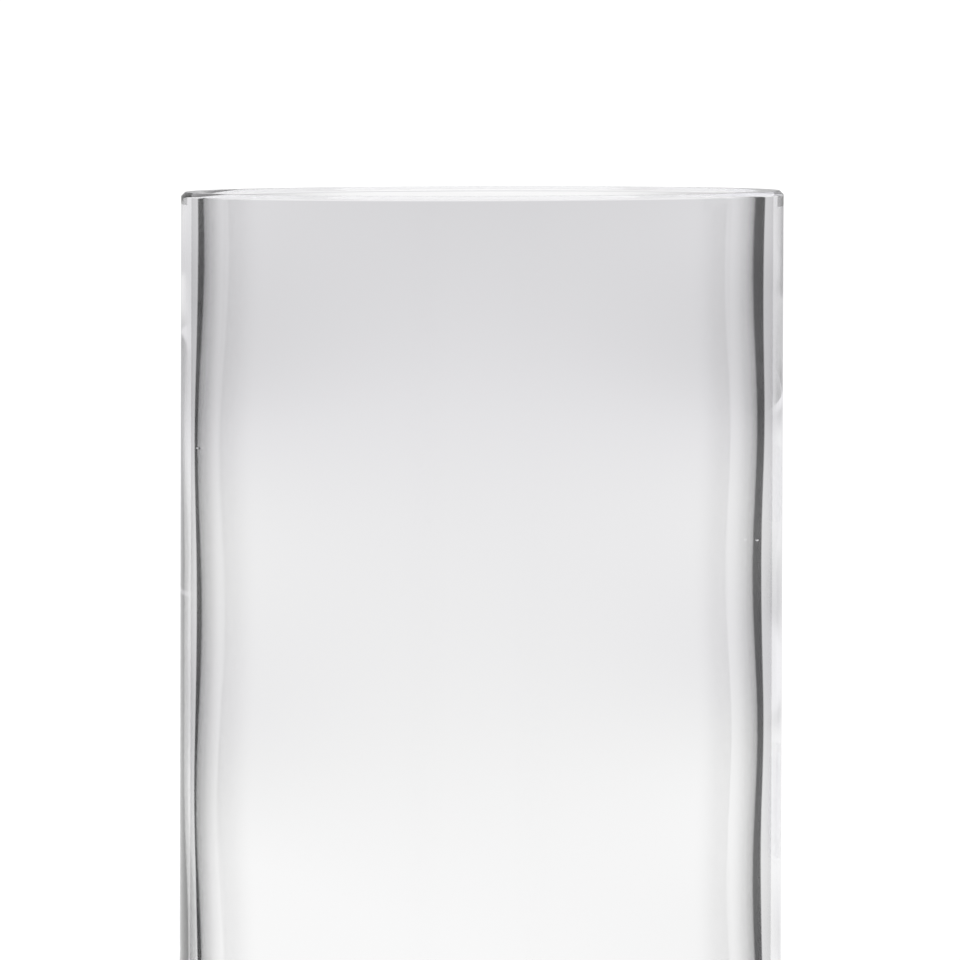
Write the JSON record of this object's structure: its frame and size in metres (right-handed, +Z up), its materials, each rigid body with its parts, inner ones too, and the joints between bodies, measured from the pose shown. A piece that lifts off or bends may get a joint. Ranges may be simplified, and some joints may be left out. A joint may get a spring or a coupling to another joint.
{
  "type": "glass cylinder vase",
  "caption": "Clear glass cylinder vase, open at the top, with a flat ground rim and a thick foot, for holding cut flowers in water.",
  "frame": {"origin": "centre of the flat ring that the vase stands on, at table level", "axes": "+Z up along the vase's axis, from the foot to the open mouth; X and Y are alike, because the vase is round"},
  "size_m": [0.15, 0.15, 0.3],
  "materials": {
    "clear_glass": "fire-polished clear glass with a faint cool tint, gently wavy inside, and a ground and polished rim"
  },
  "bodies": {
    "root": {"cylinder_wall": "clear_glass", "thick_base": "clear_glass"}
  },
  "joints": []
}
